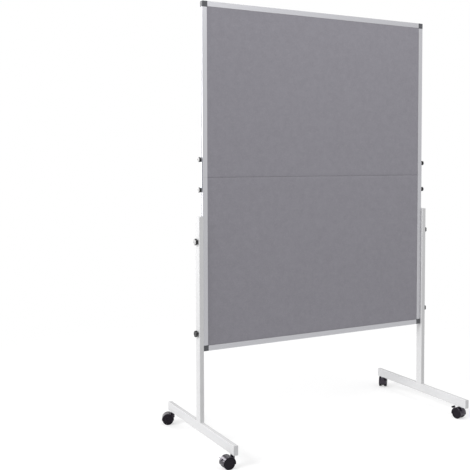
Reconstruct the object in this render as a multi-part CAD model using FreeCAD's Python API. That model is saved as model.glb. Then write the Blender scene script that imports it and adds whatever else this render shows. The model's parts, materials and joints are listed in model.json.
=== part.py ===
import FreeCAD, Part
import math
import os
from FreeCAD import Vector

os.makedirs("parts", exist_ok=True)

# Folding mobile pinboard, in millimetres.
# X runs along the board, the front faces -Y, Z is up, and the floor is Z = 0.

# Board
board_width = 1200.0
half_board_height = 750.0
seam_gap = 0.4
core_thickness = 15.0
felt_thickness = 2.0
edging_thickness = 2.0
panel_clearance = 0.2

# Aluminium rail extrusion
rail_face = 23.0
rail_depth = 20.0
rail_edge_radius = 0.8
pocket_depth = 12.0
pocket_clearance = 0.1
slot_mouth = 6.6
slot_lip = 2.0
slot_width = 13.5
slot_depth = 6.5

# Corner pieces
corner_size = 25.0
corner_proud = 0.4
corner_radius = 4.0
corner_edge_radius = 0.35
tongue_length = 28.0
tongue_clearance = 0.2

# Hinges on the rear of the side rails
hinge_side_margin = 1.5
leaf_height = 30.0
leaf_thickness = 1.5
knuckle_diameter = 6.0
knuckle_face_clearance = 0.2
knuckle_end_clearance = 0.3
hinge_pin_diameter = 3.0
hinge_pin_clearance = 0.05
leaf_notch = 4.2
leaf_overlap = 1.6
screw_diameter = 3.0
screw_head_diameter = 6.0
screw_length = 11.0
screw_clearance = 0.05
screw_height_shares = (0.37, 0.77)
screw_recess_length = 3.4
screw_recess_width = 0.9
screw_recess_depth = 1.0

# Fold locks on the sides of the board
strap_end_margin = 8.0
strap_width = 14.0
strap_thickness = 3.0
strap_clearance = 0.3
lock_knob_spacing = 130.0
left_strap_above_seam = 12.0
right_strap_above_seam = -6.0
strap_foot_length = 28.0
slot_foot_clearance = 0.3
slot_foot_floor_gap = 2.7

# Knobs
stud_diameter = 6.0
stud_thread_clearance = 0.05
stud_hole_clearance = 0.3
knob_seat_clearance = 0.1
lock_knob_diameter = 22.0
lock_knob_neck_diameter = 13.0
lock_knob_neck_length = 1.5
lock_knob_length = 10.5
lock_knob_lobes = 6
clamp_knob_diameter = 28.0
clamp_knob_neck_diameter = 17.0
clamp_knob_neck_length = 4.0
clamp_knob_length = 9.5
clamp_knob_lobes = 5
knob_edge = 1.5
knob_dish_share = 0.5
knob_dish_depth = 0.6
scallop_size_share = 0.62
scallop_offset_share = 0.52

# Posts and foot bars, rectangular tube
tube_narrow = 20.0
tube_wide = 40.0
tube_wall = 1.5
tube_inner_radius = 0.5
post_spacer_thickness = 1.5
post_spacer_diameter = 16.0
post_below_seam = 167.0
board_above_foot = 308.0
foot_length = 680.0
lower_nut_above_tongue = 10.0
upper_clamp_below_post_top = 108.0
slot_nut_length = 30.0
slot_nut_floor_gap = 2.0
cap_plate = 2.0
cap_insert = 12.0
cap_clearance = 0.15
end_plate_thickness = 6.0
bolt_diameter = 8.0
bolt_clearance = 0.2
bolt_thread_clearance = 0.05
bolt_head_diameter = 13.0
bolt_head_height = 5.0
bolt_socket_size = 6.0
bolt_socket_depth = 3.0
bolt_access_clearance = 1.5
bolt_from_middle = 12.0
bolt_end_clearance = 0.5

# Casters
foot_above_wheels = 8.0
caster_from_foot_end = 30.0
wheel_diameter = 50.0
wheel_width = 14.0
wheel_edge_radius = 3.0
wheel_rim = 4.0
wheel_face_recess = 1.2
wheel_disc_thickness = 4.8
wheel_hub_diameter = 16.0
wheel_web_clearance = 0.5
caster_trail = 22.0
caster_web = 12.0
caster_web_above_floor = 5.0
hood_clearance = 1.2
hood_thickness = 1.8
hood_skirt_angle = 12.0
hood_edge_radius = 0.8
axle_diameter = 6.0
axle_from_wheel_face = 2.5
axle_fit = 0.02
axle_running_clearance = 0.05
axle_end_clearance = 0.3
boss_diameter = 18.0
boss_bottom_above_axle = 7.0
swivel_gap = 0.4
stem_collar_diameter = 18.0
stem_collar_height = 3.0
stem_diameter = 8.0
stem_running_clearance = 0.05
stem_thread_length = 11.0
king_pin_length = 20.0
bush_diameter = 14.0
bush_height = 12.0

# Brake levers of the front casters
lever_angle = 36.0
lever_pivot_below_tread = 5.0
lever_reach = 22.0
lever_thickness = 3.0
lever_cheek = 1.3
lever_hub_diameter = 5.0
lever_trunnion_diameter = 3.0
lever_trunnion_end_clearance = 0.2
lever_trunnion_clearance = 0.05
lever_side_clearance = 0.3
lever_sweep = 4.6
lever_back_clearance = 0.8
lever_hub_clearance = 0.5
pedal_length = 8.0
pedal_width = 26.0
pedal_corner_radius = 3.0

# Swivel directions of the casters, degrees from +X about Z
caster_turns = {
    "front_left": 180.0,
    "front_right": 101.0,
    "rear_left": 157.0,
    "rear_right": 47.0,
}

# Derived sizes and places
hinge_width = rail_face - 2 * hinge_side_margin
screw_from_seam = [share * leaf_height for share in screw_height_shares]
screw_from_board_side = rail_face - pocket_depth / 2
strap_length = lock_knob_spacing + 2 * strap_end_margin
slot_foot_thickness = slot_depth - slot_foot_clearance - slot_foot_floor_gap
slot_nut_thickness = slot_depth - slot_nut_floor_gap
tube_edge_radius = tube_inner_radius + tube_wall
caster_height = wheel_diameter + foot_above_wheels
lower_clamp_height = corner_size + tongue_length + lower_nut_above_tongue + slot_nut_length / 2
foot_top = caster_height + tube_wide
board_bottom = foot_top + board_above_foot
seam = board_bottom + half_board_height
side = board_width / 2
post_inner = side + post_spacer_thickness
post_outer = post_inner + tube_narrow
post_middle = (post_inner + post_outer) / 2
post_top = seam - post_below_seam
upper_clamp_height = post_top - board_bottom - upper_clamp_below_post_top
clamp_heights = (lower_clamp_height, upper_clamp_height)
pocket_width = core_thickness + 2 * pocket_clearance
slot_floor = rail_face - slot_lip - slot_depth
lip_inside = side - slot_lip
caster_y = foot_length / 2 - caster_from_foot_end
hinge_axis_y = rail_depth / 2 + knuckle_face_clearance + knuckle_diameter / 2
hinge_middle = side - rail_face / 2
half_seam_gap = seam_gap / 2
axis_x = Vector(1, 0, 0)
axis_y = Vector(0, 1, 0)
axis_z = Vector(0, 0, 1)


def box(x0, x1, y0, y1, z0, z1):
    return Part.makeBox(x1 - x0, y1 - y0, z1 - z0, Vector(x0, y0, z0))


def rod(diameter, start, end):
    run = end - start
    return Part.makeCylinder(diameter / 2, run.Length, start, run)


def along(edge, direction):
    run = edge.tangentAt(edge.FirstParameter)
    return edge.Curve.TypeId == "Part::GeomLine" and abs(run.dot(direction)) > 0.999


def round_long_edges(shape, direction, radius):
    edges = [edge for edge in shape.Edges if along(edge, direction)]
    return shape.makeFillet(radius, edges)


def to_left(shape):
    return shape.mirror(Vector(0, 0, 0), axis_x)


def to_upper(shape):
    return shape.mirror(Vector(0, 0, seam), axis_z)


def to_back(shape):
    return shape.mirror(Vector(0, 0, 0), axis_y)


def on_side(shape, side_name):
    return to_left(shape) if side_name == "left" else shape


def save(name, *shapes):
    solids = [solid for shape in shapes for solid in shape.Solids]
    whole = solids[0] if len(solids) == 1 else Part.makeCompound(solids)
    whole.exportStep("parts/" + name + ".step")


# Aluminium rails
def rail(length):
    body = box(0, rail_face, -rail_depth / 2, rail_depth / 2, 0, length)
    body = round_long_edges(body, axis_z, rail_edge_radius)
    pocket = box(0, pocket_depth, -pocket_width / 2, pocket_width / 2, 0, length)
    slot = box(slot_floor, rail_face - slot_lip, -slot_width / 2, slot_width / 2, 0, length)
    mouth = box(rail_face - slot_lip, rail_face, -slot_mouth / 2, slot_mouth / 2, 0, length)
    return body.cut([pocket, slot, mouth])


def side_rail():
    bottom = board_bottom + corner_size
    shape = rail(seam - half_seam_gap - bottom)
    shape.translate(Vector(side - rail_face, 0, bottom))
    return shape.cut(hinge_screw_holes())


def cross_rail():
    length = board_width - 2 * corner_size
    shape = rail(length)
    shape.rotate(Vector(0, 0, 0), axis_y, 90)
    shape.translate(Vector(-length / 2, 0, board_bottom + rail_face))
    return shape


# Corner pieces with a tongue for each rail
def corner_piece():
    half_depth = rail_depth / 2 + corner_proud
    block = box(side - corner_size, side, -half_depth, half_depth,
                board_bottom, board_bottom + corner_size)
    middle = block.CenterOfMass
    outer_edge = [
        edge for edge in block.Edges
        if along(edge, axis_y) and edge.CenterOfMass.x > middle.x and edge.CenterOfMass.z < middle.z
    ]
    block = block.makeFillet(corner_radius, outer_edge)
    rims = [edge for edge in block.Edges if not along(edge, axis_y)]
    block = block.makeFillet(corner_edge_radius, rims)
    tongue_half = slot_width / 2 - tongue_clearance
    low = slot_lip + tongue_clearance
    high = slot_lip + slot_depth - tongue_clearance
    start = corner_size
    end = corner_size + tongue_length
    upright = box(side - high, side - low, -tongue_half, tongue_half,
                  board_bottom + start, board_bottom + end)
    level = box(side - end, side - start, -tongue_half, tongue_half,
                board_bottom + low, board_bottom + high)
    return block.fuse([upright, level]).removeSplitter()


# Panel core, its felt sheets and its seam edging
def corner_notches(clear):
    reach = corner_size + clear
    right = box(side - reach, side, -rail_depth, rail_depth, board_bottom, board_bottom + reach)
    return [right, to_left(right)]


def core():
    half_width = side - rail_face + pocket_depth - panel_clearance
    bottom = board_bottom + rail_face - pocket_depth + panel_clearance
    top = seam - half_seam_gap - edging_thickness
    panel = box(-half_width, half_width, -core_thickness / 2, core_thickness / 2, bottom, top)
    holes = [hinge_screw_holes(), to_left(hinge_screw_holes())]
    return panel.cut(corner_notches(panel_clearance) + holes)


def seam_edging():
    half_width = side - rail_face + pocket_depth - panel_clearance
    top = seam - half_seam_gap
    return box(-half_width, half_width, -core_thickness / 2, core_thickness / 2,
               top - edging_thickness, top)


def front_felt():
    half_width = side - rail_face - panel_clearance
    bottom = board_bottom + rail_face + panel_clearance
    inner = -core_thickness / 2
    sheet = box(-half_width, half_width, inner - felt_thickness, inner, bottom, seam - half_seam_gap)
    return sheet.cut(corner_notches(panel_clearance))


# Hinges: the lower leaf holds the outer knuckles, the upper leaf the middle one
def hinge_span(part_index):
    third = hinge_width / 3
    start = hinge_middle - hinge_width / 2 + part_index * third
    return start + knuckle_end_clearance / 2, start + third - knuckle_end_clearance / 2


def knuckle(part_index):
    start, end = hinge_span(part_index)
    outside = rod(knuckle_diameter, Vector(start, hinge_axis_y, seam), Vector(end, hinge_axis_y, seam))
    bore = rod(hinge_pin_diameter + 2 * hinge_pin_clearance,
               Vector(start, hinge_axis_y, seam), Vector(end, hinge_axis_y, seam))
    neck = box(start, end, rail_depth / 2, rail_depth / 2 + leaf_thickness,
               seam - leaf_notch, seam - leaf_overlap)
    return outside.fuse(neck).cut(bore)


def leaf_plate():
    plate = box(hinge_middle - hinge_width / 2, hinge_middle + hinge_width / 2,
                rail_depth / 2, rail_depth / 2 + leaf_thickness, seam - leaf_height, seam - leaf_notch)
    sinks = [screw_body(from_seam, screw_clearance) for from_seam in screw_from_seam]
    return plate.cut(sinks)


def hinge_leaf(knuckles):
    return leaf_plate().fuse([knuckle(index) for index in knuckles]).removeSplitter()


def hinge_pin():
    half = hinge_width / 2
    return rod(hinge_pin_diameter, Vector(hinge_middle - half, hinge_axis_y, seam),
               Vector(hinge_middle + half, hinge_axis_y, seam))


def screw_body(from_seam, clear):
    head_face = Vector(side - screw_from_board_side, rail_depth / 2 + leaf_thickness, seam - from_seam)
    head = Part.makeCone(screw_head_diameter / 2 + clear, screw_diameter / 2 + clear, leaf_thickness,
                         head_face, -axis_y)
    shank = rod(screw_diameter + 2 * clear, head_face, head_face - axis_y * (screw_length + clear))
    return head.fuse(shank)


def cross_recess(from_seam):
    x = side - screw_from_board_side
    z = seam - from_seam
    face = rail_depth / 2 + leaf_thickness
    floor = face - screw_recess_depth
    long = screw_recess_length / 2
    short = screw_recess_width / 2
    level = box(x - long, x + long, floor, face, z - short, z + short)
    upright = box(x - short, x + short, floor, face, z - long, z + long)
    return level.fuse(upright)


def hinge_screws():
    return [screw_body(from_seam, 0).cut(cross_recess(from_seam)) for from_seam in screw_from_seam]


def hinge_screw_holes():
    return Part.makeCompound([screw_body(from_seam, screw_clearance) for from_seam in screw_from_seam])


# Knobs: a lobed grip, a neck and a stud, built along +X from the seat at x = 0
def knob(diameter, length, lobes, neck_diameter, neck_length, stud_length):
    radius = diameter / 2
    scallop_radius = scallop_size_share * math.pi * radius / lobes
    scallop_place = radius + scallop_offset_share * scallop_radius
    grip = rod(diameter, axis_x * neck_length, axis_x * (neck_length + length))
    grip = grip.makeFillet(knob_edge, grip.Edges)
    scallops = []
    for index in range(lobes):
        turn = 2 * math.pi * (index + 0.5) / lobes
        centre = Vector(0, scallop_place * math.cos(turn), scallop_place * math.sin(turn))
        scallops.append(rod(2 * scallop_radius, centre, centre + axis_x * (neck_length + length)))
    end = axis_x * (neck_length + length)
    dish = rod(knob_dish_share * diameter, end - axis_x * knob_dish_depth, end)
    grip = grip.cut(scallops + [dish])
    neck = rod(neck_diameter, Vector(0, 0, 0), axis_x * (neck_length + knob_edge))
    stud = rod(stud_diameter, axis_x * -stud_length, axis_x * neck_length)
    return grip.fuse([neck, stud]).removeSplitter()


def clamp_knob(height):
    seat = post_outer + knob_seat_clearance
    stud_length = seat - (lip_inside - slot_nut_thickness)
    shape = knob(clamp_knob_diameter, clamp_knob_length, clamp_knob_lobes,
                 clamp_knob_neck_diameter, clamp_knob_neck_length, stud_length)
    shape.translate(Vector(seat, 0, board_bottom + height))
    return shape


def lock_knob(height, stud_end):
    seat = side + strap_clearance + strap_thickness + knob_seat_clearance
    shape = knob(lock_knob_diameter, lock_knob_length, lock_knob_lobes,
                 lock_knob_neck_diameter, lock_knob_neck_length, seat - stud_end)
    shape.translate(Vector(seat, 0, height))
    return shape


# Lock strap: flat on the outside of the rails, its foot in the lower rail's slot
def lock_strap(above_seam):
    middle = seam + above_seam
    inner = side + strap_clearance
    outer = inner + strap_thickness
    low = middle - lock_knob_spacing / 2
    high = middle + lock_knob_spacing / 2
    bar = box(inner, outer, -strap_width / 2, strap_width / 2,
              middle - strap_length / 2, middle + strap_length / 2)
    bar = round_long_edges(bar, axis_x, strap_width / 2 - rail_edge_radius)
    foot_bottom = middle - strap_length / 2
    foot_top_end = foot_bottom + strap_foot_length
    neck_half = slot_mouth / 2 - slot_foot_clearance
    foot_outer = lip_inside - slot_foot_clearance
    foot_inner = foot_outer - slot_foot_thickness
    foot_half = slot_width / 2 - slot_foot_clearance
    neck_bottom = low + stud_diameter
    neck = box(foot_inner, inner, -neck_half, neck_half, neck_bottom, foot_top_end)
    foot = box(foot_inner, foot_outer, -foot_half, foot_half, foot_bottom, foot_top_end)
    tapped = rod(stud_diameter + 2 * stud_thread_clearance,
                 Vector(foot_inner, 0, low), Vector(outer, 0, low))
    plain = rod(stud_diameter + 2 * stud_thread_clearance, Vector(inner, 0, high), Vector(outer, 0, high))
    return bar.fuse([neck, foot]).removeSplitter().cut([tapped, plain])


# Stand
def tube(narrow_axis_start, y0, y1, z0, z1, run):
    x0 = narrow_axis_start
    x1 = x0 + tube_narrow
    outside = round_long_edges(box(x0, x1, y0, y1, z0, z1), run, tube_edge_radius)
    wall_y = 0 if run == axis_y else tube_wall
    wall_z = 0 if run == axis_z else tube_wall
    inside = box(x0 + tube_wall, x1 - tube_wall, y0 + wall_y, y1 - wall_y, z0 + wall_z, z1 - wall_z)
    inside = round_long_edges(inside, run, tube_inner_radius)
    return outside.cut(inside)


def post():
    half = tube_wide / 2
    body = tube(post_inner, -half, half, foot_top, post_top - cap_plate, axis_z)
    weld = tube_wall / 2
    plate = box(post_inner + weld, post_outer - weld, -half + weld, half - weld,
                foot_top, foot_top + end_plate_thickness)
    body = body.fuse(plate).removeSplitter()
    holes = []
    for height in clamp_heights:
        start = Vector(post_inner, 0, board_bottom + height)
        holes.append(rod(stud_diameter + 2 * stud_hole_clearance, start, start + axis_x * tube_narrow))
    for place in (-bolt_from_middle, bolt_from_middle):
        start = Vector(post_middle, place, foot_top)
        end = start + axis_z * end_plate_thickness
        holes.append(rod(bolt_diameter + 2 * bolt_thread_clearance, start, end))
    return body.cut(holes)


def foot_bar():
    half = foot_length / 2 - cap_plate
    body = tube(post_inner, -half, half, caster_height, foot_top, axis_y)
    floor = caster_height + tube_wall
    bushes = []
    holes = []
    for place in (-caster_y, caster_y):
        start = Vector(post_middle, place, caster_height)
        bushes.append(rod(bush_diameter, Vector(post_middle, place, floor), start + axis_z * bush_height))
        holes.append(rod(stem_diameter + 2 * stem_running_clearance, start, start + axis_z * bush_height))
    for place in (-bolt_from_middle, bolt_from_middle):
        start = Vector(post_middle, place, caster_height)
        holes.append(rod(bolt_head_diameter + 2 * bolt_access_clearance, start, start + axis_z * tube_wall))
        top = Vector(post_middle, place, foot_top)
        holes.append(rod(bolt_diameter + 2 * bolt_clearance, top - axis_z * tube_wall, top))
    return body.fuse(bushes).removeSplitter().cut(holes)


def tube_cap():
    half_narrow = tube_narrow / 2
    half_wide = tube_wide / 2
    plate = box(-half_narrow, half_narrow, -half_wide, half_wide, 0, cap_plate)
    plate = round_long_edges(plate, axis_z, tube_edge_radius)
    fit = tube_wall + cap_clearance
    insert = box(-half_narrow + fit, half_narrow - fit, -half_wide + fit, half_wide - fit, -cap_insert, 0)
    insert = round_long_edges(insert, axis_z, tube_inner_radius)
    return plate.fuse(insert).removeSplitter()


def side_caps():
    top = tube_cap()
    top.translate(Vector(post_middle, 0, post_top - cap_plate))
    rear = tube_cap()
    rear.rotate(Vector(0, 0, 0), axis_x, -90)
    rear.translate(Vector(post_middle, foot_length / 2 - cap_plate, caster_height + tube_wide / 2))
    return [top, rear, to_back(rear)]


def slot_nut(height):
    middle = board_bottom + height
    half_width = slot_width / 2 - slot_foot_clearance
    block = box(lip_inside - slot_nut_thickness, lip_inside, -half_width, half_width,
                middle - slot_nut_length / 2, middle + slot_nut_length / 2)
    bore = rod(stud_diameter + 2 * stud_thread_clearance,
               Vector(lip_inside - slot_nut_thickness, 0, middle), Vector(lip_inside, 0, middle))
    return block.cut(bore)


def post_spacer(height):
    start = Vector(side, 0, board_bottom + height)
    end = start + axis_x * post_spacer_thickness
    return rod(post_spacer_diameter, start, end).cut(rod(stud_diameter + 2 * stud_hole_clearance, start, end))


def hexagon(across_flats, height):
    corner_radius = across_flats / math.sqrt(3)
    corners = []
    for index in range(7):
        turn = math.radians(60 * index)
        corners.append(Vector(corner_radius * math.cos(turn), corner_radius * math.sin(turn), 0))
    return Part.Face(Part.makePolygon(corners)).extrude(axis_z * height)


def post_bolt(place):
    seat = Vector(post_middle, place, foot_top - tube_wall)
    head = rod(bolt_head_diameter, seat - axis_z * bolt_head_height, seat)
    shank = rod(bolt_diameter, seat, seat + axis_z * (tube_wall + end_plate_thickness - bolt_end_clearance))
    socket = hexagon(bolt_socket_size, bolt_socket_depth)
    socket.translate(seat - axis_z * bolt_head_height)
    return head.fuse(shank).removeSplitter().cut(socket)


# Casters, built with the swivel axis at the origin and the wheels trailing toward +X
wheel_centre = Vector(caster_trail, 0, wheel_diameter / 2)
wheel_inner_face = caster_web / 2 + wheel_web_clearance
hood_inner = wheel_diameter / 2 + hood_clearance
hood_outer = hood_inner + hood_thickness
caster_half_width = wheel_inner_face + wheel_width
boss_top = caster_height - stem_collar_height - swivel_gap
boss_bottom = wheel_centre.z + boss_bottom_above_axle
axle_length = 2 * (caster_half_width - axle_from_wheel_face)
wheel_back_recess = wheel_width - wheel_face_recess - wheel_disc_thickness
lever_pivot_radius = wheel_diameter / 2 - lever_pivot_below_tread
lever_trunnion_length = caster_web - 2 * lever_trunnion_end_clearance
lever_width = caster_web - 2 * lever_cheek - 2 * lever_side_clearance


def across(diameter, half_length, centre):
    return rod(diameter, centre - axis_y * half_length, centre + axis_y * half_length)


def lever_frame(shape):
    placed = shape.copy()
    placed.rotate(Vector(0, 0, 0), axis_y, -lever_angle)
    turn = math.radians(lever_angle)
    pivot = wheel_centre + Vector(math.cos(turn), 0, math.sin(turn)) * lever_pivot_radius
    placed.translate(pivot)
    return placed


def brake_lever():
    half = lever_width / 2
    arm = box(0, lever_reach, -half, half, -lever_thickness / 2, lever_thickness / 2)
    hub = across(lever_hub_diameter, half, Vector(0, 0, 0))
    trunnions = across(lever_trunnion_diameter, lever_trunnion_length / 2, Vector(0, 0, 0))
    pedal = box(lever_reach - pedal_length, lever_reach, -pedal_width / 2, pedal_width / 2,
                -lever_thickness / 2, lever_thickness / 2)
    pedal = round_long_edges(pedal, axis_z, pedal_corner_radius)
    return lever_frame(arm.fuse([hub, trunnions, pedal]).removeSplitter())


def lever_pocket():
    half = lever_width / 2 + lever_side_clearance
    below = lever_thickness / 2 + lever_sweep
    above = lever_thickness / 2 + lever_back_clearance
    room = box(0, lever_reach, -half, half, -below, above)
    hub_room = across(lever_hub_diameter + 2 * lever_hub_clearance, half, Vector(0, 0, 0))
    seats = across(lever_trunnion_diameter + 2 * lever_trunnion_clearance, caster_web, Vector(0, 0, 0))
    return lever_frame(room.fuse([hub_room, seats]))


def hood(with_brake):
    half = caster_half_width
    shell = across(2 * hood_outer, half, wheel_centre)
    shell = shell.makeFillet(hood_edge_radius, shell.Edges)
    shell = shell.cut(across(2 * hood_inner, half, wheel_centre))
    skirt_drop = hood_outer * math.sin(math.radians(hood_skirt_angle))
    reach = 2 * hood_outer
    below = box(-reach, 2 * reach, -half, half, -reach, wheel_centre.z - skirt_drop)
    shell = shell.cut(below)
    web = across(2 * hood_outer, caster_web / 2, wheel_centre).cut(below)
    keel = across(wheel_diameter - 2 * caster_web_above_floor, caster_web / 2, wheel_centre)
    boss = rod(boss_diameter, axis_z * boss_bottom, axis_z * boss_top)
    boss = boss.cut([across(2 * hood_inner, half, wheel_centre)])
    body = shell.fuse([web, keel, boss]).removeSplitter()
    king_pin_end = boss_top + swivel_gap - king_pin_length
    king_pin_room = rod(stem_diameter + 2 * stem_running_clearance,
                        axis_z * (king_pin_end - axle_end_clearance), axis_z * boss_top)
    axle_seat = across(axle_diameter + 2 * axle_fit, caster_web / 2, wheel_centre)
    body = body.cut([king_pin_room, axle_seat])
    return body.cut(lever_pocket()) if with_brake else body


def axle():
    return across(axle_diameter, axle_length / 2, wheel_centre)


def wheel():
    inner = wheel_centre + axis_y * wheel_inner_face
    outer = inner + axis_y * wheel_width
    disc = rod(wheel_diameter, inner, outer)
    disc = disc.makeFillet(wheel_edge_radius, disc.Edges)
    dish_diameter = wheel_diameter - 2 * (wheel_edge_radius + wheel_rim)
    dish = rod(dish_diameter, outer - axis_y * wheel_face_recess, outer)
    hollow = rod(dish_diameter, inner, inner + axis_y * wheel_back_recess)
    hollow = hollow.cut(rod(wheel_hub_diameter, inner, inner + axis_y * wheel_back_recess))
    bore_depth = axle_length / 2 + axle_end_clearance - wheel_inner_face
    bore = rod(axle_diameter + 2 * axle_running_clearance, inner, inner + axis_y * bore_depth)
    return disc.cut([dish, hollow, bore])


def caster_stem():
    foot_bottom = axis_z * caster_height
    collar = rod(stem_collar_diameter, foot_bottom - axis_z * stem_collar_height, foot_bottom)
    shank = rod(stem_diameter, foot_bottom, foot_bottom + axis_z * stem_thread_length)
    collar_bottom = foot_bottom - axis_z * stem_collar_height
    pin = rod(stem_diameter, collar_bottom - axis_z * king_pin_length, collar_bottom)
    return collar.fuse([shank, pin]).removeSplitter()


def place_caster(shape, corner):
    placed = shape.copy()
    placed.rotate(Vector(0, 0, 0), axis_z, caster_turns[corner])
    x = -post_middle if "left" in corner else post_middle
    y = -caster_y if "front" in corner else caster_y
    placed.translate(Vector(x, y, 0))
    return placed


# Board nodes
save("lower_core", core())
save("upper_core", to_upper(core()))
save("lower_seam_edging", seam_edging())
save("upper_seam_edging", to_upper(seam_edging()))
for face_name, place_face in (("front", Part.Shape.copy), ("back", to_back)):
    felt = place_face(front_felt())
    save("lower_felt_" + face_name, felt)
    save("upper_felt_" + face_name, to_upper(felt))
save("lower_bottom_rail", cross_rail())
save("upper_top_rail", to_upper(cross_rail()))
for side_name in ("left", "right"):
    save("lower_" + side_name + "_rail", on_side(side_rail(), side_name))
    save("upper_" + side_name + "_rail", to_upper(on_side(side_rail(), side_name)))
    save("lower_" + side_name + "_corner", on_side(corner_piece(), side_name))
    save("upper_" + side_name + "_corner", to_upper(on_side(corner_piece(), side_name)))

# Hinge nodes
lower_leaf = hinge_leaf((0, 2))
upper_leaf = to_upper(hinge_leaf((1,)))
save("lower_hinge_leaves", lower_leaf, to_left(lower_leaf))
save("upper_hinge_leaves", upper_leaf, to_left(upper_leaf))
save("hinge_pins", hinge_pin(), to_left(hinge_pin()))
lower_screws = hinge_screws() + [to_left(screw) for screw in hinge_screws()]
save("lower_hinge_screws", *lower_screws)
save("upper_hinge_screws", *[to_upper(screw) for screw in lower_screws])

# Lock nodes
for side_name, above_seam in (("left", left_strap_above_seam), ("right", right_strap_above_seam)):
    half_spacing = lock_knob_spacing / 2
    middle = seam + above_seam
    upper_knob = lock_knob(middle + half_spacing, side + strap_clearance)
    lower_knob = lock_knob(middle - half_spacing, lip_inside - slot_foot_clearance - slot_foot_thickness)
    save(side_name + "_lock_strap", on_side(lock_strap(above_seam), side_name))
    save(side_name + "_lock_knob_upper", on_side(upper_knob, side_name))
    save(side_name + "_lock_knob_lower", on_side(lower_knob, side_name))

# Stand nodes
for side_name in ("left", "right"):
    save(side_name + "_post", on_side(post(), side_name))
    save(side_name + "_foot_bar", on_side(foot_bar(), side_name))
    for knob_name, height in zip(("lower", "upper"), clamp_heights):
        save(side_name + "_clamp_knob_" + knob_name, on_side(clamp_knob(height), side_name))
caps = side_caps()
nuts = [slot_nut(height) for height in clamp_heights]
spacers = [post_spacer(height) for height in clamp_heights]
bolts = [post_bolt(place) for place in (-bolt_from_middle, bolt_from_middle)]
right_groups = {"tube_caps": caps, "slot_nuts": nuts, "post_spacers": spacers, "post_bolts": bolts}
for name, shapes in right_groups.items():
    save(name, *(shapes + [to_left(shape) for shape in shapes]))

# Caster nodes
save("caster_stems", *[place_caster(caster_stem(), corner) for corner in caster_turns])
for corner in caster_turns:
    braked = corner.startswith("front")
    save(corner + "_caster_hood", place_caster(hood(braked), corner))
    save(corner + "_caster_axle", place_caster(axle(), corner))
    save(corner + "_wheel_a", place_caster(wheel(), corner))
    save(corner + "_wheel_b", place_caster(to_back(wheel()), corner))
    if braked:
        save(corner + "_brake_lever", place_caster(brake_lever(), corner))
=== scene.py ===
import json
import math

import bmesh
import bpy
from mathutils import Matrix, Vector, noise


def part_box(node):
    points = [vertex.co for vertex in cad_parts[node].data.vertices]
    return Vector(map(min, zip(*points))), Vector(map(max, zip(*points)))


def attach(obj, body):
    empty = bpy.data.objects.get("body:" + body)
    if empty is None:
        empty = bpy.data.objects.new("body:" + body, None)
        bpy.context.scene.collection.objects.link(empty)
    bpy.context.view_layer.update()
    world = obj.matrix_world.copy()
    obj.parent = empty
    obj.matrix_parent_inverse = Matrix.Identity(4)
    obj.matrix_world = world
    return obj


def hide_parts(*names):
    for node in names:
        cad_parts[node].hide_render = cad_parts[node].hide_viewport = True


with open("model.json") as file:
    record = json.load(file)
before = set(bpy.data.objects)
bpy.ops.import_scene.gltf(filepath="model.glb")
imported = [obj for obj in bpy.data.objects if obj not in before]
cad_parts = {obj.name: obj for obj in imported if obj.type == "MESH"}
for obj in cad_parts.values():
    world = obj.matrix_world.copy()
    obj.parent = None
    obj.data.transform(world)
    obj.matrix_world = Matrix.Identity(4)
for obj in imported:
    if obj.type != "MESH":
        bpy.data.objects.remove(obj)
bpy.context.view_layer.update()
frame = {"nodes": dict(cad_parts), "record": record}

nodes = frame["nodes"]
slotOfNode = {part["node"]: part["material_slot"] for part in frame["record"]["subparts"]}
mmPerMetre = 1000
print("frame loaded:", len(nodes), "nodes")


# sRGB curve, for the linear values that sockets take
srgbCurve = {
    "white": 255,
    "knee": 0.04045,
    "slope": 12.92,
    "lift": 0.055,
    "power": 2.4,
}


def hexColour(text):
    linear = []
    for start in (1, 3, 5):
        channel = int(text[start:start + 2], 16) / srgbCurve["white"]
        if channel <= srgbCurve["knee"]:
            linear.append(channel / srgbCurve["slope"])
        else:
            raised = (channel + srgbCurve["lift"]) / (1 + srgbCurve["lift"])
            linear.append(raised ** srgbCurve["power"])
    return (*linear, 1.0)


def addNode(tree, kind, inputs=None, **settings):
    # a socket given as an input is linked, any other value is set
    node = tree.nodes.new(kind)
    for name, value in settings.items():
        setattr(node, name, value)
    for name, value in (inputs or {}).items():
        if isinstance(value, bpy.types.NodeSocket):
            tree.links.new(value, node.inputs[name])
        else:
            node.inputs[name].default_value = value
    return node


def startMaterial(name):
    material = bpy.data.materials.new(name)
    material.use_nodes = True
    material.node_tree.nodes.clear()
    return material, material.node_tree


def perMetre(millimetres):
    # texture scale whose pattern repeats about once in that length
    return mmPerMetre / millimetres


# needled polyester felt: dull, cloudy where fibres bunch, a faint lighter bloom at grazing angles
feltLook = {
    "pale": "#9A98A0",
    "deep": "#88868D",
    "fibre": "#A9A7B0",
    "cloudMm": 26.0,   # bunching is nearer 6 mm on real felt, drawn coarser so that it shows
    "cloudDetail": 6.0,
    "cloudRoughness": 0.65,
    "fibreMm": 1.6,    # real fibres are 0.04 mm, drawn as tufts so that they show
    "fibreStretch": 4.5,
    "fibreTurnsDeg": (16, 72, -47),   # needling lays fibres every way
    "fibreDetail": 2.0,
    "fibreDistortion": 0.6,
    "strandRange": (0.54, 0.8),       # the part of the tufts that shows as paler strands
    "strandShare": 0.55,
    "bumpMm": 0.5,
    "bumpStrength": 0.45,
    "roughness": 0.95,
    "specular": 0.15,
    "sheen": 0.12,
    "sheenRoughness": 0.6,
}


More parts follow.
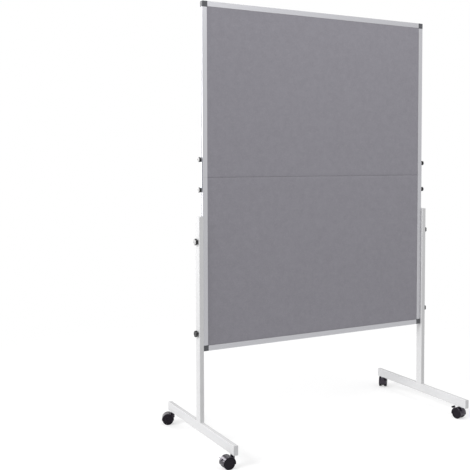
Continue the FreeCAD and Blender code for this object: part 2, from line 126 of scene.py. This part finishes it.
def makeFeltMaterial(look):
    material, tree = startMaterial("feltNeedledPolyester")
    coords = addNode(tree, "ShaderNodeTexCoord")
    cloud = addNode(tree, "ShaderNodeTexNoise", {
        "Vector": coords.outputs["Object"],
        "Scale": perMetre(look["cloudMm"]),
        "Detail": look["cloudDetail"],
        "Roughness": look["cloudRoughness"]})
    tone = addNode(tree, "ShaderNodeMix", {
        "Factor": cloud.outputs["Fac"],
        "A": hexColour(look["deep"]),
        "B": hexColour(look["pale"])}, data_type="RGBA")
    tufts = None
    for turn in look["fibreTurnsDeg"]:
        lay = addNode(tree, "ShaderNodeMapping", {
            "Vector": coords.outputs["Object"],
            "Rotation": (0, math.radians(turn), 0),
            "Scale": (look["fibreStretch"], 1, 1)}, vector_type="TEXTURE")
        tuft = addNode(tree, "ShaderNodeTexNoise", {
            "Vector": lay.outputs["Vector"],
            "Scale": perMetre(look["fibreMm"]),
            "Detail": look["fibreDetail"],
            "Distortion": look["fibreDistortion"]})
        if tufts is None:
            tufts = tuft.outputs["Fac"]
        else:
            both = addNode(tree, "ShaderNodeMath", {0: tufts, 1: tuft.outputs["Fac"]}, operation="MAXIMUM")
            tufts = both.outputs["Value"]
    strands = addNode(tree, "ShaderNodeMapRange", {
        "Value": tufts,
        "From Min": look["strandRange"][0],
        "From Max": look["strandRange"][1],
        "To Max": look["strandShare"]})
    colour = addNode(tree, "ShaderNodeMix", {
        "Factor": strands.outputs["Result"],
        "A": tone.outputs["Result"],
        "B": hexColour(look["fibre"])}, data_type="RGBA")
    bump = addNode(tree, "ShaderNodeBump", {
        "Height": tufts,
        "Strength": look["bumpStrength"],
        "Distance": look["bumpMm"] / mmPerMetre})
    shader = addNode(tree, "ShaderNodeBsdfPrincipled", {
        "Base Color": colour.outputs["Result"],
        "Roughness": look["roughness"],
        "Specular IOR Level": look["specular"],
        "Sheen Weight": look["sheen"],
        "Sheen Roughness": look["sheenRoughness"],
        "Normal": bump.outputs["Normal"]})
    addNode(tree, "ShaderNodeOutputMaterial", {"Surface": shader.outputs["BSDF"]})
    return material


# anodised aluminium, extruded: satin metal with faint die lines along its length
railLook = {
    "bright": "#C2C2C6",
    "dull": "#B5B5B9",
    "metallic": 0.85,      # the oxide skin takes a little off the metal's shine
    "lineMm": 1.1,         # die lines are about 0.2 mm apart, drawn coarser so that they show
    "lineLengthMm": 900.0,
    "lineDetail": 3.0,
    "lineRoughness": 0.6,
    "lineRange": (0.3, 0.7),
    "roughness": (0.36, 0.5),
    "bumpMm": 0.02,
    "bumpStrength": 0.25,
}


def makeRailMaterial(name, look, lengthAxis):
    material, tree = startMaterial(name)
    coords = addNode(tree, "ShaderNodeTexCoord")
    scale = [perMetre(look["lineMm"])] * 3
    scale["xyz".index(lengthAxis)] = perMetre(look["lineLengthMm"])
    along = addNode(tree, "ShaderNodeMapping", {"Vector": coords.outputs["Object"], "Scale": scale})
    lines = addNode(tree, "ShaderNodeTexNoise", {
        "Vector": along.outputs["Vector"],
        "Scale": 1.0,
        "Detail": look["lineDetail"],
        "Roughness": look["lineRoughness"]})
    colour = addNode(tree, "ShaderNodeMix", {
        "Factor": lines.outputs["Fac"],
        "A": hexColour(look["dull"]),
        "B": hexColour(look["bright"])}, data_type="RGBA")
    rough = addNode(tree, "ShaderNodeMapRange", {
        "Value": lines.outputs["Fac"],
        "From Min": look["lineRange"][0],
        "From Max": look["lineRange"][1],
        "To Min": look["roughness"][0],
        "To Max": look["roughness"][1]})
    bump = addNode(tree, "ShaderNodeBump", {
        "Height": lines.outputs["Fac"],
        "Strength": look["bumpStrength"],
        "Distance": look["bumpMm"] / mmPerMetre})
    shader = addNode(tree, "ShaderNodeBsdfPrincipled", {
        "Base Color": colour.outputs["Result"],
        "Metallic": look["metallic"],
        "Roughness": rough.outputs["Result"],
        "Normal": bump.outputs["Normal"]})
    addNode(tree, "ShaderNodeOutputMaterial", {"Surface": shader.outputs["BSDF"]})
    return material


# moulded and coated finishes share one build: a base tone with a slight mottle, and a fine skin
coatBuild = {
    "cloudDetail": 4.0,
    "cloudRoughness": 0.55,
    "cloudRange": (0.3, 0.7),
    "skinDetail": 2.0,
    "bumpStrength": 0.35,
}
coatLooks = {
    # powder coat on steel tube: satin, with orange peel
    "powder_coat": {
        "name": "powderCoatOnSteelTube", "pale": "#DADADB", "deep": "#D4D4D5", "tint": "#FFFFFF",
        "metallic": 0.0, "roughness": (0.4, 0.5), "specular": 0.2,
        "cloudMm": 60.0, "skinMm": 2.2, "bumpMm": 0.05},
    # moulded ABS with a fine eroded skin: mid grey, nearly dull
    "corner_plastic": {
        "name": "absMouldedCornerGrey", "pale": "#5E5F63", "deep": "#4C4D51", "tint": "#FFFFFF",
        "metallic": 0.0, "roughness": (0.42, 0.55), "specular": 0.4,
        "cloudMm": 15.0, "skinMm": 1.2, "bumpMm": 0.05},
    # moulded polypropylene plugs: pale as the tube, a touch waxy
    "cap_plastic": {
        "name": "polypropyleneMouldedCaps", "pale": "#DEDEDF", "deep": "#D6D6D8", "tint": "#FFFFFF",
        "metallic": 0.0, "roughness": (0.4, 0.52), "specular": 0.3,
        "cloudMm": 20.0, "skinMm": 1.5, "bumpMm": 0.04},
    # moulded nylon, filled: near black with a satin sheen on the lobes
    "knob_plastic": {
        "name": "nylonMouldedKnobBlack", "pale": "#161618", "deep": "#0D0D0F", "tint": "#FFFFFF",
        "metallic": 0.0, "roughness": (0.18, 0.28), "specular": 0.5,
        "cloudMm": 9.0, "skinMm": 1.0, "bumpMm": 0.05},
    # moulded nylon hood: smoother than the knobs, so its round back mirrors the room
    "caster_plastic": {
        "name": "nylonMouldedHoodBlack", "pale": "#1F1B22", "deep": "#151118", "tint": "#E9DFF0",
        "metallic": 0.0, "roughness": (0.14, 0.24), "specular": 0.7,
        "cloudMm": 14.0, "skinMm": 1.6, "bumpMm": 0.03},
    # moulded nylon wheel: dulled by rolling
    "wheel_plastic": {
        "name": "nylonMouldedWheelBlack", "pale": "#17141A", "deep": "#0C0A0E", "tint": "#E9DFF0",
        "metallic": 0.0, "roughness": (0.24, 0.36), "specular": 0.22,
        "cloudMm": 8.0, "skinMm": 1.4, "bumpMm": 0.05},
    # zinc plated steel: bright with a cloudy bloom
    "zinc_steel": {
        "name": "steelZincPlated", "pale": "#B2B4B8", "deep": "#989BA1", "tint": "#FFFFFF",
        "metallic": 1.0, "roughness": (0.28, 0.44), "specular": 0.5,
        "cloudMm": 6.0, "skinMm": 1.2, "bumpMm": 0.02},
    # pressed fibre board behind the felt: brown, dull and rough
    "core_board": {
        "name": "fibreBoardPressed", "pale": "#BFA27A", "deep": "#A68A62", "tint": "#FFFFFF",
        "metallic": 0.0, "roughness": (0.85, 0.95), "specular": 0.2,
        "cloudMm": 12.0, "skinMm": 2.0, "bumpMm": 0.2},
}


def makeCoatMaterial(look, build):
    material, tree = startMaterial(look["name"])
    coords = addNode(tree, "ShaderNodeTexCoord")
    cloud = addNode(tree, "ShaderNodeTexNoise", {
        "Vector": coords.outputs["Object"],
        "Scale": perMetre(look["cloudMm"]),
        "Detail": build["cloudDetail"],
        "Roughness": build["cloudRoughness"]})
    colour = addNode(tree, "ShaderNodeMix", {
        "Factor": cloud.outputs["Fac"],
        "A": hexColour(look["deep"]),
        "B": hexColour(look["pale"])}, data_type="RGBA")
    rough = addNode(tree, "ShaderNodeMapRange", {
        "Value": cloud.outputs["Fac"],
        "From Min": build["cloudRange"][0],
        "From Max": build["cloudRange"][1],
        "To Min": look["roughness"][0],
        "To Max": look["roughness"][1]})
    skin = addNode(tree, "ShaderNodeTexNoise", {
        "Vector": coords.outputs["Object"],
        "Scale": perMetre(look["skinMm"]),
        "Detail": build["skinDetail"]})
    bump = addNode(tree, "ShaderNodeBump", {
        "Height": skin.outputs["Fac"],
        "Strength": build["bumpStrength"],
        "Distance": look["bumpMm"] / mmPerMetre})
    shader = addNode(tree, "ShaderNodeBsdfPrincipled", {
        "Base Color": colour.outputs["Result"],
        "Metallic": look["metallic"],
        "Roughness": rough.outputs["Result"],
        "Specular IOR Level": look["specular"],
        "Specular Tint": hexColour(look["tint"]),
        "Normal": bump.outputs["Normal"]})
    addNode(tree, "ShaderNodeOutputMaterial", {"Surface": shader.outputs["BSDF"]})
    return material


materials = {slot: makeCoatMaterial(look, coatBuild) for slot, look in coatLooks.items()}
materials["felt_grey"] = makeFeltMaterial(feltLook)
uprightRail = makeRailMaterial("aluminiumAnodisedUpright", railLook, "z")
levelRail = makeRailMaterial("aluminiumAnodisedLevel", railLook, "x")
for nodeName, node in nodes.items():
    slotName = slotOfNode[nodeName]
    if slotName == "anodised_aluminium":
        isUpright = nodeName.endswith(("left_rail", "right_rail"))
        finish = uprightRail if isUpright else levelRail
    else:
        finish = materials[slotName]
    node.data.materials.clear()
    node.data.materials.append(finish)
print("materials:", len(bpy.data.materials))


# loose fibres on the felt: fine loops whose ends stay in the sheet
looseFibres = {
    "perSquareMetre": 7500.0,
    "lengthMm": 7.0,
    "thicknessMm": 0.14,   # several real fibres together
    "liftMm": 1.0,         # middle of the curve's control line, the loop itself rises half as far
    "sinkMm": 0.25,
    "bendShare": 0.3,
    "sizes": (0.6, 1.3),
    "marginMm": 5.0,       # kept clear along the edges, so that no fibre leaves the sheet
    "steps": 3,
    "sides": 3,
    "turnSeed": 1,
    "sizeSeed": 2,
}


def makeFibreTree(look, material):
    tree = bpy.data.node_groups.new("feltLooseFibres", "GeometryNodeTree")
    tree.interface.new_socket("Geometry", in_out="INPUT", socket_type="NodeSocketGeometry")
    for name in ("Density", "Length", "Thickness", "Lift", "Sink"):
        tree.interface.new_socket(name, in_out="INPUT", socket_type="NodeSocketFloat")
    tree.interface.new_socket("Seed", in_out="INPUT", socket_type="NodeSocketInt")
    tree.interface.new_socket("Geometry", in_out="OUTPUT", socket_type="NodeSocketGeometry")
    given = addNode(tree, "NodeGroupInput").outputs

    # one loop along X: both ends below the face, its middle bent aside and lifted
    below = addNode(tree, "ShaderNodeMath", {0: given["Sink"], 1: -1.0}, operation="MULTIPLY")
    ends = []
    for side in (-0.5, 0.5):
        reach = addNode(tree, "ShaderNodeMath", {0: given["Length"], 1: side}, operation="MULTIPLY")
        ends.append(addNode(tree, "ShaderNodeCombineXYZ", {
            "X": reach.outputs["Value"], "Z": below.outputs["Value"]}))
    bend = addNode(tree, "ShaderNodeMath", {
        0: given["Length"], 1: look["bendShare"]}, operation="MULTIPLY")
    middle = addNode(tree, "ShaderNodeCombineXYZ", {"Y": bend.outputs["Value"], "Z": given["Lift"]})
    line = addNode(tree, "GeometryNodeCurveQuadraticBezier", {
        "Resolution": look["steps"],
        "Start": ends[0].outputs["Vector"],
        "Middle": middle.outputs["Vector"],
        "End": ends[1].outputs["Vector"]})
    radius = addNode(tree, "ShaderNodeMath", {0: given["Thickness"], 1: 0.5}, operation="MULTIPLY")
    ring = addNode(tree, "GeometryNodeCurvePrimitiveCircle", {
        "Resolution": look["sides"], "Radius": radius.outputs["Value"]})
    strand = addNode(tree, "GeometryNodeCurveToMesh", {
        "Curve": line.outputs["Curve"], "Profile Curve": ring.outputs["Curve"], "Fill Caps": True})

    # scattered over the face, each turned and sized by chance
    points = addNode(tree, "GeometryNodeDistributePointsOnFaces", {
        "Mesh": given["Geometry"], "Density": given["Density"], "Seed": given["Seed"]})
    turn = addNode(tree, "FunctionNodeRandomValue", {
        "Min": 0.0, "Max": math.tau, "Seed": look["turnSeed"]}, data_type="FLOAT")
    spin = addNode(tree, "FunctionNodeAxisAngleToRotation", {
        "Axis": (0, 0, 1), "Angle": turn.outputs["Value"]})
    aim = addNode(tree, "FunctionNodeRotateRotation", {
        "Rotation": points.outputs["Rotation"],
        "Rotate By": spin.outputs["Rotation"]}, rotation_space="LOCAL")
    size = addNode(tree, "FunctionNodeRandomValue", {
        "Min": look["sizes"][0], "Max": look["sizes"][1], "Seed": look["sizeSeed"]}, data_type="FLOAT")
    placed = addNode(tree, "GeometryNodeInstanceOnPoints", {
        "Points": points.outputs["Points"],
        "Instance": strand.outputs["Mesh"],
        "Rotation": aim.outputs["Rotation"],
        "Scale": size.outputs["Value"]})
    solid = addNode(tree, "GeometryNodeRealizeInstances", {"Geometry": placed.outputs["Instances"]})
    painted = addNode(tree, "GeometryNodeSetMaterial", {
        "Geometry": solid.outputs["Geometry"], "Material": material})
    addNode(tree, "NodeGroupOutput", {"Geometry": painted.outputs["Geometry"]})
    return tree


def makeFibres(nodeName, low, high, facing, look, tree, seed):
    # a plain quad over the open face, short of its edges, carries the fibres
    inset = look["marginMm"] / mmPerMetre
    plane = low.y if facing < 0 else high.y
    left, right = low.x + inset, high.x - inset
    bottom, top = low.z + inset, high.z - inset
    ring = [(left, plane, bottom), (right, plane, bottom), (right, plane, top), (left, plane, top)]
    if facing > 0:
        ring.reverse()
    quad = bpy.data.meshes.new("fibreCarrier")
    quad.from_pydata(ring, [], [(0, 1, 2, 3)])
    carrier = bpy.data.objects.new("fibreCarrier", quad)
    bpy.context.scene.collection.objects.link(carrier)
    modifier = carrier.modifiers.new("feltLooseFibres", "NODES")
    modifier.node_group = tree
    values = {
        "Density": look["perSquareMetre"],
        "Length": look["lengthMm"] / mmPerMetre,
        "Thickness": look["thicknessMm"] / mmPerMetre,
        "Lift": look["liftMm"] / mmPerMetre,
        "Sink": look["sinkMm"] / mmPerMetre,
        "Seed": seed,
    }
    for item in tree.interface.items_tree:
        if item.in_out == "INPUT" and item.name in values:
            modifier[item.identifier] = values[item.name]
    grown = carrier.evaluated_get(bpy.context.evaluated_depsgraph_get())
    mesh = bpy.data.meshes.new_from_object(grown)
    mesh.name = nodeName + "Fibres"
    carrier.modifiers.clear()
    bpy.data.objects.remove(carrier)
    bpy.data.meshes.remove(quad)
    mesh.materials.clear()   # drops an empty slot that comes before the felt
    mesh.materials.append(materials["felt_grey"])
    fibres = bpy.data.objects.new(nodeName + "_fibres", mesh)
    bpy.context.scene.collection.objects.link(fibres)
    return fibres


# felt sheets glued on the cores: soft edges, faintly uneven faces
feltSheet = {
    "edgeMm": (0.0, 0.25, 0.6, 1.1, 1.8),   # grid lines close to each edge, for its rounding
    "edgeRadiusMm": 1.8,
    "edgeDropShare": 0.8,   # share of the radius by which the edge falls, below that it is cut straight
    "gridMm": 14.0,
    "decimals": 6,          # of a metre, so that lines that coincide become one
    "notchMm": 2.0,         # cut for the corner pieces
    "unevenMm": 0.14,
    "unevenSpanMm": 110.0,
    "unevenPlane": 3.7,     # metres off in the noise, so that front and back sheets differ
    "creaseDeg": 50,
}


def gridLines(low, high, sheet, extra):
    edges = [e / mmPerMetre for e in sheet["edgeMm"]]
    inner = edges[-1]
    count = max(2, round((high - low - 2 * inner) * mmPerMetre / sheet["gridMm"]))
    middle = [low + inner + (high - low - 2 * inner) * i / count for i in range(1, count)]
    lines = [low + e for e in edges] + middle + [high - e for e in edges] + extra
    return sorted(set(round(v, sheet["decimals"]) for v in lines))


def makeFeltSheet(nodeName, body, sheet, fibreTree, seed):
    low, high = (Vector(corner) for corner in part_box(nodeName))
    facing = -1 if low.y < 0 else 1
    corePlane = high.y if facing < 0 else low.y
    thickness = high.y - low.y
    notch = sheet["notchMm"] / mmPerMetre
    notchAtTop = body != "base"
    notchZ = high.z - notch if notchAtTop else low.z + notch
    xs = gridLines(low.x, high.x, sheet, [low.x + notch, high.x - notch])
    zs = gridLines(low.z, high.z, sheet, [notchZ])
    radius = sheet["edgeRadiusMm"] / mmPerMetre

    def height(x, z):
        toEdge = min(x - low.x, high.x - x, z - low.z, high.z - z)
        short = 1 - min(max(toEdge, 0) / radius, 1)
        drop = radius * (1 - math.sqrt(1 - short * short)) * sheet["edgeDropShare"]
        place = Vector((x, facing * sheet["unevenPlane"], z)) * perMetre(sheet["unevenSpanMm"])
        sink = (0.5 + 0.5 * noise.noise(place)) * sheet["unevenMm"] / mmPerMetre
        return thickness - drop - min(max(sink, 0), thickness / 2)

    shape = bmesh.new()
    corners = {}
    for i in range(len(xs) - 1):
        for k in range(len(zs) - 1):
            middleX = (xs[i] + xs[i + 1]) / 2
            middleZ = (zs[k] + zs[k + 1]) / 2
            nearSide = min(middleX - low.x, high.x - middleX) < notch
            nearFrame = (middleZ > notchZ) if notchAtTop else (middleZ < notchZ)
            if nearSide and nearFrame:
                continue
            ring = []
            for x, z in ((xs[i], zs[k]), (xs[i + 1], zs[k]), (xs[i + 1], zs[k + 1]), (xs[i], zs[k + 1])):
                if (x, z) not in corners:
                    corners[x, z] = shape.verts.new((x, corePlane, z))
                ring.append(corners[x, z])
            shape.faces.new(ring)
    grown = bmesh.ops.extrude_face_region(shape, geom=shape.faces[:])
    for item in grown["geom"]:
        if isinstance(item, bmesh.types.BMVert):
            item.co.y = corePlane + facing * height(item.co.x, item.co.z)
    bmesh.ops.recalc_face_normals(shape, faces=shape.faces[:])
    mesh = bpy.data.meshes.new(nodeName + "Sheet")
    shape.to_mesh(mesh)
    shape.free()
    for face in mesh.polygons:
        face.use_smooth = True
    mesh.set_sharp_from_angle(angle=math.radians(sheet["creaseDeg"]))
    mesh.materials.append(materials["felt_grey"])
    piece = bpy.data.objects.new(nodeName + "_sheet", mesh)
    bpy.context.scene.collection.objects.link(piece)
    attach(piece, body)
    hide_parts(nodeName)
    fibres = makeFibres(nodeName, low, high, facing, looseFibres, fibreTree, seed)
    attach(fibres, body)
    return len(fibres.data.polygons)


fibreTree = makeFibreTree(looseFibres, materials["felt_grey"])
fibreFaces = []
for half, body in (("lower", "base"), ("upper", "upper_board")):
    for face in ("front", "back"):
        seed = len(fibreFaces) + 1
        fibreFaces.append(makeFeltSheet(half + "_felt_" + face, body, feltSheet, fibreTree, seed))
print("felt sheets made, fibre faces:", fibreFaces)


# camera at chest height, front left of the board; its small shift stands for the crop
cameraView = {
    "framePx": 470,
    "focalPx": 807.8,
    "centrePx": (275.0, 196.6),
    "placeMm": (-2044.6, -3158.1, 1235.2),
    "turn": 0.5195,      # radians to the right of +Y
    "tilt": -0.0464,     # radians above level
    "sensorMm": 36.0,
    "clipEnd": 60,
}


def makeCamera(view):
    camera = bpy.data.cameras.new("photoCamera")
    camera.sensor_width = view["sensorMm"]
    camera.lens = view["focalPx"] / view["framePx"] * view["sensorMm"]
    half = view["framePx"] / 2
    camera.shift_x = (half - view["centrePx"][0]) / view["framePx"]
    camera.shift_y = (view["centrePx"][1] - half) / view["framePx"]
    camera.clip_end = view["clipEnd"]
    holder = bpy.data.objects.new("photoCamera", camera)
    holder.location = [v / mmPerMetre for v in view["placeMm"]]
    holder.rotation_euler = (math.pi / 2 + view["tilt"], 0, -view["turn"])
    bpy.context.scene.collection.objects.link(holder)
    bpy.context.scene.camera = holder


# soft boxes: the key at the left, a rim panel behind it, one overhead in front, and an even white room
studio = {
    "aim": (0, 0, 1.0),
    "softBoxes": {
        # far off, so that both posts get the same light
        "keySoftBox": {"place": (-22.5, -3.0, 14.0), "size": (12.0, 12.0), "watts": 3980.0},
        "rimSoftBox": {"place": (-2.9, 5.6, 1.9), "size": (2.2, 3.8), "watts": 190.0},
        "topSoftBox": {"place": (0.2, -2.2, 3.7), "size": (1.8, 1.8), "watts": 39.0},
    },
    "roomWhite": "#FFFFFF",
    "roomDiffuse": 0.5,
    "roomSeen": 1.0,
    "floorPaper": "#C4C4C4",
    "floorRoughness": 0.9,
    "floorGlow": 0.52,   # lifts the floor to white for the camera and for reflections only
    "floorRadius": 7.0,
    "floorFadeStart": 1.2,
    "floorFadeEnd": 2.6,
}


def addSoftBox(name, box, target):
    lamp = bpy.data.lights.new(name, "AREA")
    lamp.shape = "RECTANGLE"
    lamp.size, lamp.size_y = box["size"]
    lamp.energy = box["watts"]
    holder = bpy.data.objects.new(name, lamp)
    holder.location = box["place"]
    holder.rotation_euler = (Vector(target) - Vector(box["place"])).to_track_quat("-Z", "Y").to_euler()
    bpy.context.scene.collection.objects.link(holder)


def seenStrength(tree, unseen, seen):
    # one strength for rays that show the background, another for rays that light the object
    path = addNode(tree, "ShaderNodeLightPath")
    direct = addNode(tree, "ShaderNodeMath", {
        0: path.outputs["Is Camera Ray"], 1: path.outputs["Is Glossy Ray"]}, operation="MAXIMUM")
    shown = addNode(tree, "ShaderNodeMath", {
        0: direct.outputs["Value"], 1: path.outputs["Is Transmission Ray"]}, operation="MAXIMUM")
    return addNode(tree, "ShaderNodeMapRange", {
        "Value": shown.outputs["Value"], "To Min": unseen, "To Max": seen})


def makeRoom(settings):
    world = bpy.data.worlds.new("studioRoom")
    world.use_nodes = True
    tree = world.node_tree
    tree.nodes.clear()
    strength = seenStrength(tree, settings["roomDiffuse"], settings["roomSeen"])
    light = addNode(tree, "ShaderNodeBackground", {
        "Color": hexColour(settings["roomWhite"]), "Strength": strength.outputs["Result"]})
    addNode(tree, "ShaderNodeOutputWorld", {"Surface": light.outputs["Background"]})
    bpy.context.scene.world = world


# white paper sweep: dull, and fading out round the object so that no edge shows
def makeFloor(settings):
    material, tree = startMaterial("paperSweepWhite")
    coords = addNode(tree, "ShaderNodeTexCoord")
    away = addNode(tree, "ShaderNodeVectorMath", {0: coords.outputs["Object"]}, operation="LENGTH")
    fade = addNode(tree, "ShaderNodeMapRange", {
        "Value": away.outputs["Value"],
        "From Min": settings["floorFadeStart"],
        "From Max": settings["floorFadeEnd"]}, interpolation_type="SMOOTHSTEP")
    glow = seenStrength(tree, 0.0, settings["floorGlow"])
    paper = addNode(tree, "ShaderNodeBsdfPrincipled", {
        "Base Color": hexColour(settings["floorPaper"]),
        "Roughness": settings["floorRoughness"],
        "Specular IOR Level": 0.0,
        "Emission Color": hexColour(settings["roomWhite"]),
        "Emission Strength": glow.outputs["Result"]})
    clear = addNode(tree, "ShaderNodeBsdfTransparent")
    blend = addNode(tree, "ShaderNodeMixShader", {
        0: fade.outputs["Result"], 1: paper.outputs["BSDF"], 2: clear.outputs["BSDF"]})
    addNode(tree, "ShaderNodeOutputMaterial", {"Surface": blend.outputs["Shader"]})
    mesh = bpy.data.meshes.new("floor")
    reach = settings["floorRadius"]
    ring = [(-reach, -reach, 0), (reach, -reach, 0), (reach, reach, 0), (-reach, reach, 0)]
    mesh.from_pydata(ring, [], [(0, 1, 2, 3)])
    mesh.materials.append(material)
    floor = bpy.data.objects.new("floor", mesh)
    bpy.context.scene.collection.objects.link(floor)


makeCamera(cameraView)
for boxName, softBox in studio["softBoxes"].items():
    addSoftBox(boxName, softBox, studio["aim"])
makeRoom(studio)
makeFloor(studio)
bpy.context.scene.view_settings.view_transform = "Standard"
print("camera and studio ready")
